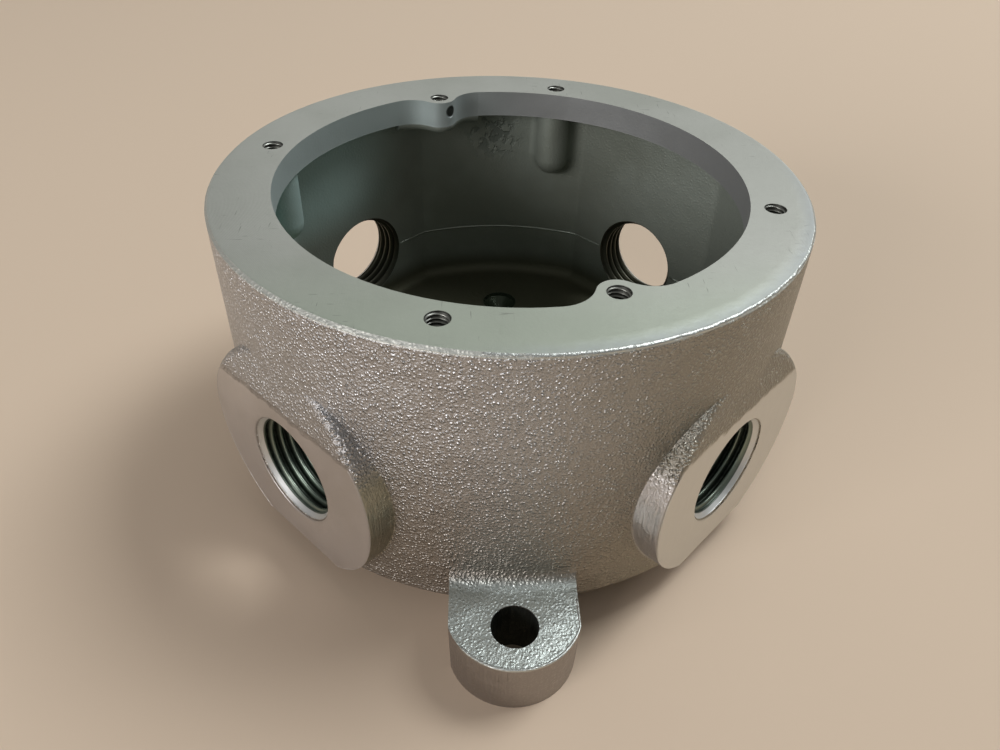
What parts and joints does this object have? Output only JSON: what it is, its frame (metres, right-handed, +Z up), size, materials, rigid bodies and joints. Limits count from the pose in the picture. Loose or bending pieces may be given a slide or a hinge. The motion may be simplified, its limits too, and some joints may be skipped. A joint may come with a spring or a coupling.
{
  "type": "junction box housing",
  "caption": "Round cast aluminium junction box housing, open at the top, with threaded side ports, a machined rim with tapped screw holes and mounting lugs at the foot",
  "frame": {"origin": "on the axis of the round body, in the plane the two mounting lugs stand on", "axes": "+Z up the axis out of the open mouth; the mounting lugs lie along +Y and -Y, the front one at -Y; the port axes lie halfway between X and Y; +X is to the right seen from the front lug"},
  "size_m": [0.1106, 0.1446, 0.0613],
  "materials": {
    "cast_aluminium": "rough as-cast skin, machined rim and port faces"
  },
  "bodies": {
    "root": {"housing": "cast_aluminium"}
  },
  "joints": []
}
